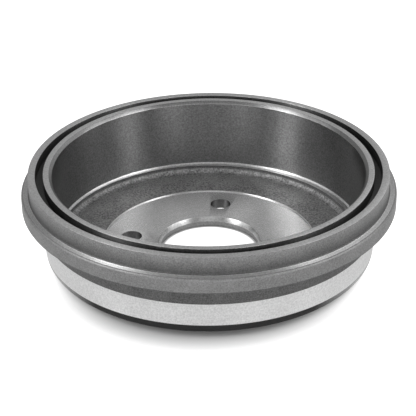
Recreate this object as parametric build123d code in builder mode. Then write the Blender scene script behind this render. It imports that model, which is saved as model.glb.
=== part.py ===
"""Brake drum for a small car's rear axle: one iron casting, turned on its working faces.

The origin is the middle of the outer hub face, which the wheel is bolted against.
+Z runs along the axle towards the drum's open side. Sizes are in millimetres.
"""

import os

from build123d import *

# Hub: the thick middle, machined on both faces
hub_thickness = 7.5
bore_diameter = 71.0
bore_inner_chamfer = 3.3
bore_outer_chamfer = 1.0
stud_circle_diameter = 114.3
stud_count = 4
stud_hole_diameter = 15.0
land_outside_studs = 11.4
face_step = 1.0

# Web: the dished plate between hub and wall, left as cast
web_rise_inside = 1.8
web_rise_outside = 2.5
corner_radius = 8.5
relief_height = 4.5
relief_depth = 3.1

# Wall: the friction surface inside, a turned band and a cast neck outside
friction_diameter = 220.0
friction_lead_out = 1.2
wall_thickness = 7.4
cast_allowance = 1.0
neck_height = 16.2
neck_fillet = 5.0

# Rim: the inner ring, the groove for the backing plate's edge, and the outer lip
overall_height = 68.0
ring_thickness = 6.0
ring_chamfer = 2.0
groove_width = 5.6
groove_depth = 8.0
groove_floor_fillet = 0.8
lip_thickness = 5.0
lip_height = 12.8
lip_fillet = 1.5
lip_edge_chamfer = 0.5

# Flange: the heavy collar under the lip
ledge_width = 5.4
flange_thickness = 11.0
flange_top_round = 2.0
flange_bottom_round = 1.0

# Radii worked out from the middle outwards
bore_radius = bore_diameter / 2
stud_circle_radius = stud_circle_diameter / 2
stud_hole_radius = stud_hole_diameter / 2
face_radius = stud_circle_radius + stud_hole_radius + land_outside_studs
friction_radius = friction_diameter / 2
relief_radius = friction_radius - relief_depth
band_radius = friction_radius + wall_thickness
neck_radius = band_radius + cast_allowance
groove_middle_radius = friction_radius + ring_thickness + groove_width / 2
lip_radius = groove_middle_radius + groove_width / 2 + lip_thickness
flange_radius = lip_radius + ledge_width

# Heights worked out from the outer hub face upwards
web_inner_corner = hub_thickness + face_step + web_rise_inside
web_outer_corner = face_step + web_rise_outside
relief_top = web_inner_corner + relief_height
friction_bottom = relief_top + friction_lead_out
ledge_height = overall_height - lip_height
flange_bottom = ledge_height - flange_thickness
band_top = flange_bottom - neck_height

# The fillet inside the corner takes nearly all of the short cast wall above it
relief_fillet = 0.95 * relief_height

with BuildPart() as brake_drum:
    # Half section of the drum, first the inside from bore to rim, then the outside back down
    with BuildSketch(Plane.XZ):
        with BuildLine():
            inside = FilletPolyline(
                (bore_radius, hub_thickness - bore_inner_chamfer),
                (bore_radius + bore_inner_chamfer, hub_thickness),
                (face_radius, hub_thickness),
                (face_radius, hub_thickness + face_step),
                (relief_radius, web_inner_corner),
                (relief_radius, relief_top),
                (friction_radius - friction_lead_out, relief_top),
                (friction_radius, friction_bottom),
                (friction_radius, overall_height - ring_chamfer),
                (friction_radius + ring_chamfer, overall_height),
                (lip_radius, overall_height),
                radius=[0, 0, 0, relief_fillet, 0, 0, 0, 0, 0],
            )
            outside = FilletPolyline(
                (lip_radius, overall_height),
                (lip_radius, ledge_height),
                (flange_radius, ledge_height),
                (flange_radius, flange_bottom),
                (neck_radius, flange_bottom),
                (neck_radius, band_top),
                (band_radius, band_top),
                (band_radius, web_outer_corner),
                (face_radius, face_step),
                (face_radius, 0),
                (bore_radius + bore_outer_chamfer, 0),
                (bore_radius, bore_outer_chamfer),
                radius=[
                    lip_fillet,
                    flange_top_round,
                    flange_bottom_round,
                    neck_fillet,
                    0,
                    0,
                    corner_radius,
                    0,
                    0,
                    0,
                ],
            )
            Line(outside @ 1, inside @ 0)
        make_face()
    revolve(axis=Axis.Z)

    # Groove around the rim, with small fillets along its floor
    with BuildSketch(Plane.XZ) as groove:
        with Locations((groove_middle_radius, overall_height)):
            Rectangle(groove_width, groove_depth, align=(Align.CENTER, Align.MAX))
        fillet(groove.vertices().group_by(Axis.Z)[0], groove_floor_fillet)
    revolve(axis=Axis.Z, mode=Mode.SUBTRACT)

    # Broken outer edge of the lip
    rim_edges = brake_drum.edges().filter_by(GeomType.CIRCLE).group_by(Axis.Z)[-1]
    chamfer(rim_edges.sort_by(SortBy.RADIUS)[-1], lip_edge_chamfer)

    # Stud holes, straight through the hub
    with Locations((0, 0, hub_thickness)):
        with PolarLocations(stud_circle_radius, stud_count):
            Hole(stud_hole_radius, depth=hub_thickness)

brake_drum.part.label = "brake_drum"

os.makedirs("parts", exist_ok=True)
export_step(brake_drum.part, "parts/brake_drum.step")
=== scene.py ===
"""A brake drum standing open side up: one grey iron casting, turned on its working faces.

The drum's lengths are millimetres, turned to metres where they are used. It stands on its outer
hub face at height zero, with its axis along Z. The studio's lengths are metres.
"""

from math import acos, cos, degrees, hypot, pi, radians, sin

import bpy
from mathutils import Euler, Matrix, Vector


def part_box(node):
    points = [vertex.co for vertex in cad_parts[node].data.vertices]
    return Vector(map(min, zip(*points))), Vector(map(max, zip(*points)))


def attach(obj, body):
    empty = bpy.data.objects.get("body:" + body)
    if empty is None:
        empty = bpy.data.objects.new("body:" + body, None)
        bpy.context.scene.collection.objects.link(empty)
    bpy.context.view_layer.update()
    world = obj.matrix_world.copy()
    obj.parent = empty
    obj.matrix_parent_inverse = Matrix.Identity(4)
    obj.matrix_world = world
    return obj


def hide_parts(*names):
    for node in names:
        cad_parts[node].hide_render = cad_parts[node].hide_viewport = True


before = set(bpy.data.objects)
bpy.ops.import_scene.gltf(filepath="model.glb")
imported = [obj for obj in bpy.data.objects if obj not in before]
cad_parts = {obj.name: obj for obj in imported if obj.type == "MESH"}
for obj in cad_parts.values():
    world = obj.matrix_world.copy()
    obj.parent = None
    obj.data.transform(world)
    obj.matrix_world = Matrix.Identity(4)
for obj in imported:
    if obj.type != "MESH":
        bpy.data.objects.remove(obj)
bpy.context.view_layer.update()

MM = 0.001

# ---------------------------------------------------------------------------
# Sizes in millimetres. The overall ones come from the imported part.
# ---------------------------------------------------------------------------

high_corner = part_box("brake_drum")[1]
flange_radius = high_corner[0] / MM
overall_height = high_corner[2] / MM

# Hub
bore_radius = 35.5
bore_chamfer_width = 1.5
bore_chamfer_depth = 3.4
bore_outer_chamfer = 0.5
hub_thickness = 7.5
face_radius = 76.05
face_step = 1.0
step_round = 0.85
stud_circle_radius = 57.15
stud_hole_radius = 7.5
stud_count = 4

# Inside: cast web and fillet, turned ledge, friction surface, inner ring
web_inner_corner = 9.3
web_fillet = 5.0
relief_radius = 106.9
relief_top = 14.8
friction_radius = 110.0
friction_lead_out = 1.2
ring_chamfer = 2.0
core_shift = -1.5

# Rim: groove and lip
groove_inner_radius = 116.0
groove_outer_radius = 121.6
groove_depth = 8.0
lip_radius = 126.6
lip_height = 12.8
lip_fillet = 1.5

# Outside: flange, neck, turned band, corner and web
flange_thickness = 11.0
flange_top_round = 2.0
flange_bottom_round = 1.0
neck_radius = 118.4
neck_height = 16.2
neck_fillet = 5.0
band_radius = 117.4
web_outer_corner = 3.5
corner_radius = 8.0

# Heights and radii that follow
groove_floor = overall_height - groove_depth
ledge_height = overall_height - lip_height
flange_bottom = ledge_height - flange_thickness
band_top = flange_bottom - neck_height
bore_chamfer_bottom = hub_thickness - bore_chamfer_depth
lead_out_radius = friction_radius - friction_lead_out

# How finely the round forms are divided, how wide the broken edges are, and how near to each other
# points and slivers are merged
turns = 288
hole_sides = 72
edge_break = 0.25
same_place = 0.01
sliver_width = 0.03


# ---------------------------------------------------------------------------
# Small helpers
# ---------------------------------------------------------------------------

def start_clean(piece=None):
    """Leaves edit mode and deselects everything, then selects the piece if one is given, so that the
    next operator acts on nothing else."""
    if bpy.context.object and bpy.context.object.mode != "OBJECT":
        bpy.ops.object.mode_set(mode="OBJECT")
    bpy.ops.object.select_all(action="DESELECT")
    if piece:
        piece.select_set(True)
        bpy.context.view_layer.objects.active = piece


def linear(hex_colour):
    """sRGB hex colour as linear RGBA."""
    channels = [int(hex_colour[i:i + 2], 16) / 255 for i in (1, 3, 5)]
    return [c / 12.92 if c <= 0.04045 else ((c + 0.055) / 1.055) ** 2.4 for c in channels] + [1.0]


def empty_nodes(owner):
    """Gives a material or the world an empty node tree."""
    owner.use_nodes = True
    owner.node_tree.nodes.clear()
    return owner


def add_node(owner, kind, inputs=None, **settings):
    """Adds one node to a material or the world. settings are the node's properties, and inputs gives
    its sockets, by name or number, a value or another node's output."""
    node = owner.node_tree.nodes.new(kind)
    for name, value in settings.items():
        setattr(node, name, value)
    for socket, value in (inputs or {}).items():
        if isinstance(value, bpy.types.NodeSocket):
            owner.node_tree.links.new(value, node.inputs[socket])
        else:
            node.inputs[socket].default_value = value
    return node


# ---------------------------------------------------------------------------
# The drum's half section, drawn as a line of points
# ---------------------------------------------------------------------------

def draw_section(corners):
    """Extrudes one vertex from corner to corner, so the section is a line in the XZ plane."""
    start_clean()
    (radius, height) = corners[0]
    bpy.ops.mesh.primitive_plane_add(size=MM, location=(radius * MM, 0, height * MM))
    bpy.ops.object.mode_set(mode="EDIT")
    bpy.ops.mesh.select_mode(type="VERT")
    bpy.ops.mesh.select_all(action="SELECT")
    bpy.ops.mesh.merge(type="CENTER")
    for (next_radius, next_height) in corners[1:]:
        step = ((next_radius - radius) * MM, 0, (next_height - height) * MM)
        bpy.ops.mesh.extrude_region_move(TRANSFORM_OT_translate={"value": step})
        (radius, height) = (next_radius, next_height)
    bpy.ops.object.mode_set(mode="OBJECT")
    bpy.ops.object.transform_apply(location=True, rotation=True, scale=True)
    return bpy.context.object


def select_points(piece, chosen):
    """Selects the points for which chosen(radius, height), in millimetres, holds, and stays in edit mode."""
    bpy.ops.object.mode_set(mode="EDIT")
    bpy.ops.mesh.select_mode(type="VERT")
    bpy.ops.mesh.select_all(action="DESELECT")
    bpy.ops.object.mode_set(mode="OBJECT")
    for point in piece.data.vertices:
        point.select = chosen(hypot(point.co.x, point.co.y) / MM, point.co.z / MM)
    bpy.ops.object.mode_set(mode="EDIT")


def round_corner(section, corner, radius, segments):
    """Rounds one corner of the section."""
    select_points(section, lambda r, z: hypot(r - corner[0], z - corner[1]) < same_place)
    bpy.ops.mesh.bevel(affect="VERTICES", offset=radius * MM, segments=segments)
    bpy.ops.object.mode_set(mode="OBJECT")


step_edge = (face_radius, hub_thickness + face_step)
inside_corner = (relief_radius, web_inner_corner)
outside_corner = (band_radius, web_outer_corner)
lip_foot = (lip_radius, ledge_height)
flange_top_edge = (flange_radius, ledge_height)
flange_bottom_edge = (flange_radius, flange_bottom)
neck_top = (neck_radius, flange_bottom)

# From the bore up over the inside and the rim, and down the outside back to the bore
section_corners = [
    (bore_radius, bore_chamfer_bottom),
    (bore_radius + bore_chamfer_width, hub_thickness),
    (face_radius, hub_thickness),
    step_edge,
    inside_corner,
    (relief_radius, relief_top),
    (lead_out_radius, relief_top),
    (friction_radius, relief_top + friction_lead_out),
    (friction_radius, overall_height - ring_chamfer),
    (friction_radius + ring_chamfer, overall_height),
    (groove_inner_radius, overall_height),
    (groove_inner_radius, groove_floor),
    (groove_outer_radius, groove_floor),
    (groove_outer_radius, overall_height),
    (lip_radius, overall_height),
    lip_foot,
    flange_top_edge,
    flange_bottom_edge,
    neck_top,
    (neck_radius, band_top),
    (band_radius, band_top),
    outside_corner,
    (face_radius, face_step),
    (face_radius, 0),
    (bore_radius + bore_outer_chamfer, 0),
    (bore_radius, bore_outer_chamfer),
    (bore_radius, bore_chamfer_bottom),
]
drum = draw_section(section_corners)
drum.name = "drum_casting"
round_corner(drum, step_edge, step_round, segments=5)
round_corner(drum, inside_corner, web_fillet, segments=8)
round_corner(drum, outside_corner, corner_radius, segments=16)
round_corner(drum, lip_foot, lip_fillet, segments=6)
round_corner(drum, flange_top_edge, flange_top_round, segments=6)
round_corner(drum, flange_bottom_edge, flange_bottom_round, segments=4)
round_corner(drum, neck_top, neck_fillet, segments=8)

# ---------------------------------------------------------------------------
# The section spun about the axis, with its edges broken and its stud holes drilled
# ---------------------------------------------------------------------------

bpy.ops.object.mode_set(mode="EDIT")
bpy.ops.mesh.select_all(action="SELECT")
bpy.ops.mesh.remove_doubles(threshold=same_place * MM)
bpy.ops.mesh.spin(steps=turns, angle=2 * pi, center=(0, 0, 0), axis=(0, 0, 1))
bpy.ops.mesh.select_all(action="SELECT")
bpy.ops.mesh.remove_doubles(threshold=same_place * MM)
bpy.ops.mesh.normals_make_consistent(inside=False)
bpy.ops.object.mode_set(mode="OBJECT")

# Edges sharper than this are broken, and the rounded ones aren't touched
sharp_edge_angle = 20
broken_edges = drum.modifiers.new("broken_edges", "BEVEL")
broken_edges.width = edge_break * MM
broken_edges.segments = 2
broken_edges.limit_method = "ANGLE"
broken_edges.angle_limit = radians(sharp_edge_angle)
bpy.ops.object.modifier_apply(modifier=broken_edges.name)

# Each drill is turned a little, because edges in line with the hub's own would spoil the cut
drill_turn = 1.7
drill_length = 4 * hub_thickness
for hole in range(stud_count):
    angle = 2 * pi * hole / stud_count
    start_clean()
    bpy.ops.mesh.primitive_cylinder_add(
        vertices=hole_sides,
        radius=stud_hole_radius * MM,
        depth=drill_length * MM,
        location=(stud_circle_radius * MM * cos(angle), stud_circle_radius * MM * sin(angle), 0),
        rotation=(0, 0, radians(drill_turn)),
    )
    drill = bpy.context.object
    start_clean(drum)
    drilled = drum.modifiers.new("drilled", "BOOLEAN")
    drilled.operation = "DIFFERENCE"
    drilled.solver = "EXACT"
    drilled.object = drill
    bpy.ops.object.modifier_apply(modifier=drilled.name)
    bpy.data.objects.remove(drill)

# The cuts leave slivers beside the old edges, which are closed up
start_clean(drum)
bpy.ops.object.mode_set(mode="EDIT")
bpy.ops.mesh.select_all(action="SELECT")
bpy.ops.mesh.remove_doubles(threshold=sliver_width * MM)
bpy.ops.mesh.normals_make_consistent(inside=False)
bpy.ops.object.mode_set(mode="OBJECT")

# The core that made the inside sat a little off the turned axis, so the web's fillet and the cast
# wall above it do too
web_middle = (face_radius + relief_radius) / 2
ledge_middle = (relief_radius + lead_out_radius) / 2
start_clean(drum)
select_points(drum, lambda r, z: web_middle < r < ledge_middle and z > hub_thickness)
bpy.ops.transform.translate(value=(core_shift * MM, 0, 0))
bpy.ops.object.mode_set(mode="OBJECT")

# ---------------------------------------------------------------------------
# Materials. Sizes of patterns are millimetres.
# ---------------------------------------------------------------------------

# A lathe tool moves on by about 0.2 mm a turn. Marks that fine don't show, so they are drawn wider.
tool_mark_width = 1.1
tool_mark_depth = 0.02
# Graphite flakes are a tenth of a millimetre long. Together they mottle the bare metal, and the
# mottle is drawn as coarse as it has to be to show.
mottle_size = 1.2
mottle_share = 0.85
# Stains on a casting, left by rust and by handling
stain_size = 14
stain_share = 0.2
# Most values of a noise lie in this range, which is spread over the colours
noise_low = 0.35
noise_high = 0.65
# A quarter of a turn from the way round lays the long side of a highlight across the grooves
across_grooves = 0.25


def turned_iron(name, dark, light, smooth, rough, spread_across=0.9):
    """Grey iron cut on a lathe: bare metal whose fine grooves run round the axis, so that its
    highlights are drawn out across them, by spread_across. Its colour goes from dark to light and
    its roughness from smooth to rough."""
    material = empty_nodes(bpy.data.materials.new(name))
    place = add_node(material, "ShaderNodeTexCoord").outputs["Object"]
    axes = add_node(material, "ShaderNodeSeparateXYZ", {"Vector": place})
    flat_place = add_node(
        material, "ShaderNodeCombineXYZ", {"X": axes.outputs["X"], "Y": axes.outputs["Y"]}
    )
    radius = add_node(
        material, "ShaderNodeVectorMath", {"Vector": flat_place.outputs["Vector"]}, operation="LENGTH"
    )
    tool_place = add_node(
        material, "ShaderNodeCombineXYZ", {"X": radius.outputs["Value"], "Y": axes.outputs["Z"]}
    )
    tool_marks = add_node(material, "ShaderNodeTexNoise", {
        "Vector": tool_place.outputs["Vector"],
        "Scale": 1 / (tool_mark_width * MM),
        "Detail": 3.0,
        "Roughness": 0.6,
    })
    mottle = add_node(material, "ShaderNodeTexNoise", {
        "Vector": place,
        "Scale": 1 / (mottle_size * MM),
        "Detail": 3.0,
        "Roughness": 0.7,
    })
    blend = add_node(
        material, "ShaderNodeMix",
        {"Factor": mottle_share, "A": tool_marks.outputs["Fac"], "B": mottle.outputs["Fac"]},
        data_type="FLOAT",
    )
    spread = add_node(
        material, "ShaderNodeMapRange",
        {"Value": blend.outputs["Result"], "From Min": noise_low, "From Max": noise_high},
    )
    tone = add_node(
        material, "ShaderNodeMix",
        {"Factor": spread.outputs["Result"], "A": linear(dark), "B": linear(light)},
        data_type="RGBA",
    )
    finish = add_node(
        material, "ShaderNodeMapRange", {"Value": blend.outputs["Result"], "To Min": smooth, "To Max": rough}
    )
    grooves = add_node(material, "ShaderNodeBump", {
        "Height": tool_marks.outputs["Fac"],
        "Strength": 0.1,
        "Distance": tool_mark_depth * MM,
    })
    around = add_node(material, "ShaderNodeTangent", direction_type="RADIAL", axis="Z")
    metal = add_node(material, "ShaderNodeBsdfPrincipled", {
        "Base Color": tone.outputs["Result"],
        "Metallic": 1.0,
        "Roughness": finish.outputs["Result"],
        "Anisotropic": spread_across,
        "Anisotropic Rotation": across_grooves,
        "Normal": grooves.outputs["Normal"],
        "Tangent": around.outputs["Tangent"],
    })
    add_node(material, "ShaderNodeOutputMaterial", {"Surface": metal.outputs["BSDF"]})
    return material


def cast_iron(
    name, dark, light, grain_size, grain_depth, roughness,
    shade_share=1.0, darkest_at=0, unshaded_at=1, shade_spot=None,
):
    """The skin that a sand mould leaves on iron: dull grey with a fine grain, and a little less
    metallic than bare iron, because scale covers part of it. Moulding sand is about 0.3 mm across,
    and its grain is drawn coarser so that it shows. Painted shade darkens the skin to shade_share of
    its colour at darkest_at and is gone at unshaded_at. Both are heights, or distances from shade_spot
    where one is given."""
    material = empty_nodes(bpy.data.materials.new(name))
    place = add_node(material, "ShaderNodeTexCoord").outputs["Object"]
    grain = add_node(material, "ShaderNodeTexNoise", {
        "Vector": place,
        "Scale": 1 / (grain_size * MM),
        "Detail": 4.0,
        "Roughness": 0.65,
    })
    stains = add_node(material, "ShaderNodeTexNoise", {
        "Vector": place,
        "Scale": 1 / (stain_size * MM),
        "Detail": 3.0,
        "Roughness": 0.55,
    })
    blend = add_node(
        material, "ShaderNodeMix",
        {"Factor": stain_share, "A": grain.outputs["Fac"], "B": stains.outputs["Fac"]},
        data_type="FLOAT",
    )
    spread = add_node(
        material, "ShaderNodeMapRange",
        {"Value": blend.outputs["Result"], "From Min": noise_low, "From Max": noise_high},
    )
    tone = add_node(
        material, "ShaderNodeMix",
        {"Factor": spread.outputs["Result"], "A": linear(dark), "B": linear(light)},
        data_type="RGBA",
    )
    # Painted shade: the colour is darkened by height, or by distance from a spot
    if shade_spot:
        spot = [value * MM for value in shade_spot]
        from_spot = add_node(material, "ShaderNodeVectorMath", {0: place, 1: spot}, operation="DISTANCE")
        shade_place = from_spot.outputs["Value"]
    else:
        shade_place = add_node(material, "ShaderNodeSeparateXYZ", {"Vector": place}).outputs["Z"]
    shade_factor = add_node(material, "ShaderNodeMapRange", {
        "Value": shade_place,
        "From Min": darkest_at * MM,
        "From Max": unshaded_at * MM,
        "To Min": shade_share,
    })
    shaded_tone = add_node(
        material, "ShaderNodeVectorMath",
        {"Vector": tone.outputs["Result"], "Scale": shade_factor.outputs["Result"]}, operation="SCALE",
    )
    bumps = add_node(material, "ShaderNodeBump", {
        "Height": grain.outputs["Fac"],
        "Strength": 0.7,
        "Distance": grain_depth * MM,
    })
    skin = add_node(material, "ShaderNodeBsdfPrincipled", {
        "Base Color": shaded_tone.outputs["Vector"],
        "Metallic": 0.75,
        "Roughness": roughness,
        "Normal": bumps.outputs["Normal"],
    })
    add_node(material, "ShaderNodeOutputMaterial", {"Surface": skin.outputs["BSDF"]})
    return material


# Rim, band and steps: turned to size, so they shine, with highlights blurred across the grooves
bright = turned_iron("turned_bright_iron", dark="#cecece", light="#eeeeee", smooth=0.27, rough=0.34)

# Hub faces: turned with a fine finishing cut, so they are paler and gleam more sharply
fine = turned_iron("fine_turned_iron", dark="#e2e2e2", light="#fdfdfd", smooth=0.21, rough=0.27)

# Ledge on the flange and edge of the lip: one rough cut, so they are pale with a broad soft gleam
coarse = turned_iron(
    "coarse_turned_iron", dark="#c6c6c6", light="#f4f4f4", smooth=0.36, rough=0.42, spread_across=1.0
)

# Chamfers in the bore and under the friction surface: cut by a form tool that rubs a little, so
# they are duller than the turned faces
chamfered = turned_iron("chamfered_iron", dark="#bcbcbc", light="#e4e4e4", smooth=0.3, rough=0.38)

# Bore and mouth of the drum: bored, with the tool's film of cutting oil left on them, so mid grey
bored = turned_iron("bored_iron", dark="#868686", light="#a4a4a4", smooth=0.3, rough=0.38)

# Friction surface: bored and oiled against rust, so it is dark with tall streaks of light
friction = turned_iron("friction_surface_iron", dark="#6a6a6a", light="#909090", smooth=0.27, rough=0.34)

# Rim groove: plunged with a narrow tool, and coloured much darker than the other cut faces
groove = turned_iron("groove_iron", dark="#4c4c4c", light="#606060", smooth=0.34, rough=0.4)

# Stud holes: drilled, with torn walls that scatter the light, so dull
drilled_wall = turned_iron("drilled_iron", dark="#6a6a6a", light="#808080", smooth=0.45, rough=0.55)

# Web inside: cast, and blasted clean of its sand, so it has a coarse glittering grain
web_skin = cast_iron(
    "cast_skin_of_web", dark="#585858", light="#bebebe", grain_size=1.3, grain_depth=0.7, roughness=0.38
)

# Fillet inside: cast, where the blast reached less well, so darker and more matt than the web
fillet_skin = cast_iron(
    "cast_skin_of_fillet", dark="#484848", light="#a4a4a4", grain_size=1.5, grain_depth=0.6, roughness=0.5
)

# Outside of the lip: cast skin, even and matt, with painted shade that deepens down to the ledge
lip_skin_painted_shade = cast_iron(
    "cast_skin_of_lip_painted_shade", dark="#6c6c6c", light="#9a9a9a", grain_size=0.9, grain_depth=0.12, roughness=0.5,
    shade_share=0.35, darkest_at=ledge_height, unshaded_at=overall_height,
)

# Edge of the flange: the same cast skin, with no painted shade
flange_skin = cast_iron(
    "cast_skin_of_flange", dark="#6c6c6c", light="#939393", grain_size=0.9, grain_depth=0.12, roughness=0.5
)

# Neck, wall over the fillet and underside: dull cast skin, coloured darker than on the flange as painted
# shade, for these lie under the flange, in the undercut and under the drum
neck_skin_painted_shade = cast_iron(
    "cast_skin_of_neck_painted_shade", dark="#4c4c4c", light="#7a7a7a", grain_size=0.9, grain_depth=0.2, roughness=0.6
)

# Corner at the foot: cast skin, coloured pale as a painted reflection of the bright floor at its sides, and
# darkened nearly to black towards the front as painted shade of the drum's contact shadow
corner_painted_reflection_and_shade = cast_iron(
    "cast_corner_painted_reflection_and_shade", dark="#a6a6a6", light="#cccccc", grain_size=0.9, grain_depth=0.12, roughness=0.6,
    shade_share=0.07, darkest_at=78, unshaded_at=120, shade_spot=(13, -117, 8),
)

finishes = [
    bright, fine, coarse, chamfered, bored, friction, groove, drilled_wall,
    web_skin, fillet_skin, lip_skin_painted_shade, flange_skin, neck_skin_painted_shade, corner_painted_reflection_and_shade,
]
drum.data.materials.clear()
for finish in finishes:
    drum.data.materials.append(finish)

# A broken edge and a little more, so that faces at an edge are told from those beyond it
margin = 0.3

# How far faces look away from straight up, in degrees
level_tilt = 14
web_tilt = 10
ledge_tilt = 16
lip_edge_tilt = 32
slope_low = 26
slope_high = 72.5


def finish_at(face):
    """The finish of one face of the drum, from the face's place and the way it looks."""
    height = face.center.z / MM
    radius = hypot(face.center.x, face.center.y) / MM
    tilt = degrees(acos(max(-1.0, min(1.0, face.normal.z))))
    upright = slope_high < tilt < 180 - slope_high
    sloping = slope_low < tilt < slope_high

    if radius < bore_radius + bore_chamfer_width - margin:
        return bored if height < bore_chamfer_bottom else chamfered
    if upright and radius < face_radius - margin and height < hub_thickness:
        return drilled_wall
    if tilt < level_tilt and radius < face_radius - margin:
        return fine
    if sloping and lead_out_radius - margin < radius < friction_radius + margin:
        return chamfered
    if sloping and friction_radius < radius < friction_radius + ring_chamfer + margin:
        return bored
    if upright and abs(radius - friction_radius) < margin:
        return friction
    # Foot of the outside: the corner takes a painted reflection and painted shade, the underside within it
    # the darker skin as painted shade
    if radius > face_radius + margin and height < web_outer_corner + corner_radius and tilt > slope_high:
        return corner_painted_reflection_and_shade if radius > band_radius - corner_radius else neck_skin_painted_shade
    if face_radius + step_round < radius < lead_out_radius and height < relief_top - margin:
        # The upright wall of the undercut takes the darker skin, as painted shade
        if upright:
            return neck_skin_painted_shade
        return fillet_skin if tilt > web_tilt else web_skin
    if radius < groove_outer_radius + margin and groove_floor - margin < height < overall_height - margin:
        return groove if radius > groove_inner_radius - margin else bored
    # Lip and flange edge: the lip's skin darkens towards the ledge as painted shade
    if radius > lip_radius - margin and flange_bottom + flange_bottom_round < height < overall_height:
        on_ledge = radius > lip_radius + lip_fillet
        if tilt < (ledge_tilt if on_ledge else lip_edge_tilt):
            return coarse
        return flange_skin if on_ledge else lip_skin_painted_shade
    # Neck under the flange: the darker skin, as painted shade
    if radius > band_radius + margin and band_top + margin < height < flange_bottom + flange_bottom_round:
        return neck_skin_painted_shade
    return bright


for face in drum.data.polygons:
    face.material_index = finishes.index(finish_at(face))

# Corners blunter than this are rounds that are to look smooth
smooth_angle = 30
start_clean(drum)
bpy.ops.object.shade_smooth_by_angle(angle=radians(smooth_angle))
bpy.ops.object.transform_apply(location=True, rotation=True, scale=True)

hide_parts("brake_drum")
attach(drum, "root")

# ---------------------------------------------------------------------------
# Floor. Its sizes, and those of all that follows, are metres.
# ---------------------------------------------------------------------------

floor_radius = 6.0
floor_sides = 96
# It lies a hair under the hub face, so that the two don't share a plane
floor_level = -0.05 * MM

# The floor's glow fades out in a painted shadow round the drum, shifted towards the front, where the drum's
# soft shadow falls
painted_shadow_middle = (0, -0.0295, 0)
painted_shadow_core_radius = 0.0795
painted_shadow_edge_radius = 0.120
glow_in_painted_shadow = 0.1
# A deeper painted shadow close under the drum
painted_contact_shadow_radius = 0.108
painted_contact_shadow_end_radius = 0.117
glow_in_painted_contact_shadow = 0.4
# Under the hub the glow is full, as painted light on the floor seen through the bore, with a painted shadow
# in a narrow ring at the bore's edge
painted_light_under_hub_radius = 0.070
painted_bore_edge_shadow_width = 2.5 * MM
# How much of the floor's light metal mirrors
share_in_metal = 0.43


def white_studio_floor():
    """White matt paper, which keeps the drum's own shadow, with a glow that makes it pure white to the
    camera and that metal mirrors in part. The glow fades out in a painted shadow round the drum,
    deeper close under it, and is full under the hub as painted light, but for a painted shadow at
    the bore's edge."""
    material = empty_nodes(bpy.data.materials.new("white_studio_floor"))
    place = add_node(material, "ShaderNodeTexCoord").outputs["Object"]
    from_painted_shadow_middle = add_node(
        material, "ShaderNodeVectorMath", {0: place, 1: painted_shadow_middle}, operation="DISTANCE"
    )
    out_of_painted_shadow = add_node(
        material, "ShaderNodeMapRange",
        {
            "Value": from_painted_shadow_middle.outputs["Value"],
            "From Min": painted_shadow_core_radius,
            "From Max": painted_shadow_edge_radius,
            "To Min": glow_in_painted_shadow,
        },
        interpolation_type="SMOOTHSTEP",
    )
    from_axis = add_node(material, "ShaderNodeVectorMath", {"Vector": place}, operation="LENGTH")
    out_of_painted_contact_shadow = add_node(
        material, "ShaderNodeMapRange",
        {
            "Value": from_axis.outputs["Value"],
            "From Min": painted_contact_shadow_radius,
            "From Max": painted_contact_shadow_end_radius,
            "To Min": glow_in_painted_contact_shadow,
        },
        interpolation_type="SMOOTHSTEP",
    )
    painted_shadow_around_drum = add_node(
        material, "ShaderNodeMath",
        {0: out_of_painted_shadow.outputs["Result"], 1: out_of_painted_contact_shadow.outputs["Result"]}, operation="MULTIPLY",
    )
    painted_light_under_hub = add_node(
        material, "ShaderNodeMath",
        {0: from_axis.outputs["Value"], 1: painted_light_under_hub_radius}, operation="LESS_THAN",
    )
    past_bore_edge = add_node(
        material, "ShaderNodeMath",
        {0: from_axis.outputs["Value"], 1: bore_radius * MM}, operation="SUBTRACT",
    )
    from_bore_edge = add_node(
        material, "ShaderNodeMath", {0: past_bore_edge.outputs["Value"]}, operation="ABSOLUTE"
    )
    out_of_painted_bore_edge_shadow = add_node(
        material, "ShaderNodeMapRange",
        {"Value": from_bore_edge.outputs["Value"], "From Max": painted_bore_edge_shadow_width},
        interpolation_type="SMOOTHSTEP",
    )
    painted_light_through_bore = add_node(
        material, "ShaderNodeMath",
        {0: painted_light_under_hub.outputs["Value"], 1: out_of_painted_bore_edge_shadow.outputs["Result"]}, operation="MULTIPLY",
    )
    glow_with_painted_shadow = add_node(
        material, "ShaderNodeMath",
        {0: painted_shadow_around_drum.outputs["Value"], 1: painted_light_through_bore.outputs["Value"]}, operation="MAXIMUM",
    )
    ray = add_node(material, "ShaderNodeLightPath")
    seen = add_node(
        material, "ShaderNodeMath",
        {0: ray.outputs["Is Glossy Ray"], 1: share_in_metal, 2: ray.outputs["Is Camera Ray"]},
        operation="MULTIPLY_ADD",
    )
    strength = add_node(
        material, "ShaderNodeMath", {0: seen.outputs["Value"], 1: glow_with_painted_shadow.outputs["Value"]}, operation="MULTIPLY"
    )
    paper = add_node(material, "ShaderNodeBsdfDiffuse", {"Color": linear("#b8b8b8")})
    glow = add_node(
        material, "ShaderNodeEmission", {"Color": linear("#ffffff"), "Strength": strength.outputs["Value"]}
    )
    both = add_node(
        material, "ShaderNodeAddShader", {0: paper.outputs["BSDF"], 1: glow.outputs["Emission"]}
    )
    add_node(material, "ShaderNodeOutputMaterial", {"Surface": both.outputs["Shader"]})
    return material


start_clean()
bpy.ops.mesh.primitive_circle_add(
    vertices=floor_sides, radius=floor_radius, fill_type="NGON", location=(0, 0, floor_level)
)
floor = bpy.context.object
floor.name = "studio_floor"
floor.data.materials.append(white_studio_floor())

# ---------------------------------------------------------------------------
# Lights
# ---------------------------------------------------------------------------

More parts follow.
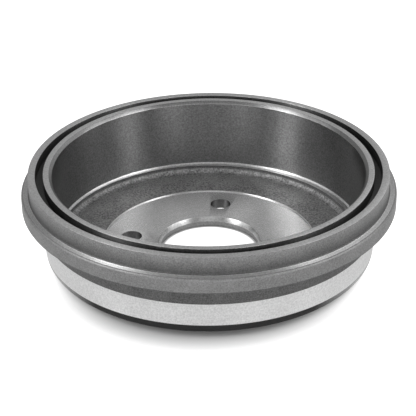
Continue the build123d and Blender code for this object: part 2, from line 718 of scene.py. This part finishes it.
# White room, which the camera sees in full and which lights the drum evenly and weakly
share_on_drum = 0.37
room = empty_nodes(bpy.data.worlds.new("white_room"))
bpy.context.scene.world = room
room_ray = add_node(room, "ShaderNodeLightPath")
room_strength = add_node(
    room, "ShaderNodeMapRange", {"Value": room_ray.outputs["Is Camera Ray"], "To Min": share_on_drum}
)
room_light = add_node(
    room, "ShaderNodeBackground",
    {"Color": linear("#ffffff"), "Strength": room_strength.outputs["Result"]},
)
add_node(room, "ShaderNodeOutputWorld", {"Surface": room_light.outputs["Background"]})

# The camera looks from between -Y and +X, a little off the line of two stud holes
camera_turn = 8.7
lamp_distance = 1.8


def softbox(name, side, elevation, width, height, power):
    """A lamp that looks at the drum from side degrees to the right of the camera."""
    start_clean()
    azimuth = radians(camera_turn - 90 + side)
    spot = (
        lamp_distance * cos(azimuth) * cos(radians(elevation)),
        lamp_distance * sin(azimuth) * cos(radians(elevation)),
        lamp_distance * sin(radians(elevation)),
    )
    bpy.ops.object.light_add(type="AREA", location=spot)
    lamp = bpy.context.object
    lamp.name = name
    lamp.rotation_euler = Euler((radians(90 - elevation), 0, azimuth + pi / 2))
    lamp.visible_camera = False
    lamp.data.shape = "RECTANGLE"
    lamp.data.size = width
    lamp.data.size_y = height
    lamp.data.energy = power


# Front: the outside of the drum
softbox("front_strip", side=0, elevation=12, width=2.0, height=0.5, power=3.4)
softbox("front_middle", side=0, elevation=30, width=1.4, height=0.5, power=2.3)
softbox("front_left_low", side=-30, elevation=12, width=0.6, height=0.5, power=2.0)
softbox("front_right_low", side=30, elevation=12, width=0.6, height=0.5, power=2.3)

# Left: the left streak on the friction surface, the gleam on the hub face, the band's end
softbox("left_key", side=-66, elevation=28, width=0.5, height=0.5, power=7.2)
softbox("left_high", side=-66, elevation=46, width=0.6, height=0.5, power=7.0)
softbox("left_side", side=-95, elevation=35, width=0.9, height=0.7, power=2.5)
softbox("left_top", side=-90, elevation=62, width=0.9, height=0.8, power=1.4)

# Right: the same on the other side
softbox("right_key", side=66, elevation=28, width=0.5, height=0.5, power=3.6)
softbox("right_low", side=66, elevation=12, width=0.5, height=0.4, power=1.0)
softbox("right_high", side=66, elevation=46, width=0.6, height=0.5, power=4.6)
softbox("right_side", side=95, elevation=35, width=0.9, height=0.7, power=4.6)
softbox("right_side_low", side=100, elevation=12, width=0.8, height=0.5, power=1.9)

# Rear right: the end of the rim
softbox("rear_right", side=135, elevation=30, width=0.9, height=0.7, power=1.2)
softbox("rear_right_low", side=150, elevation=12, width=0.8, height=0.5, power=0.4)

# ---------------------------------------------------------------------------
# Camera
# ---------------------------------------------------------------------------

camera_distance = 0.91740
camera_height = 0.53280
camera_dip = 28.498
camera_yaw = 0.049
camera_roll = -0.614
focal_pixels = 1464.63
image_pixels = 416
sensor_width = 36

camera_azimuth = radians(camera_turn - 90)
camera_place = (
    camera_distance * cos(camera_azimuth),
    camera_distance * sin(camera_azimuth),
    camera_height,
)
camera_look = Euler((radians(90 - camera_dip), 0, radians(camera_turn + camera_yaw)))
camera_data = bpy.data.cameras.new("camera")
camera_data.sensor_width = sensor_width
camera_data.lens = sensor_width * focal_pixels / image_pixels
camera_data.clip_end = 50
camera = bpy.data.objects.new("camera", camera_data)
camera.matrix_world = (
    Matrix.Translation(camera_place)
    @ camera_look.to_matrix().to_4x4()
    @ Matrix.Rotation(radians(camera_roll), 4, "Z")
)
bpy.context.collection.objects.link(camera)
bpy.context.scene.camera = camera

bpy.context.scene.view_settings.view_transform = "Standard"
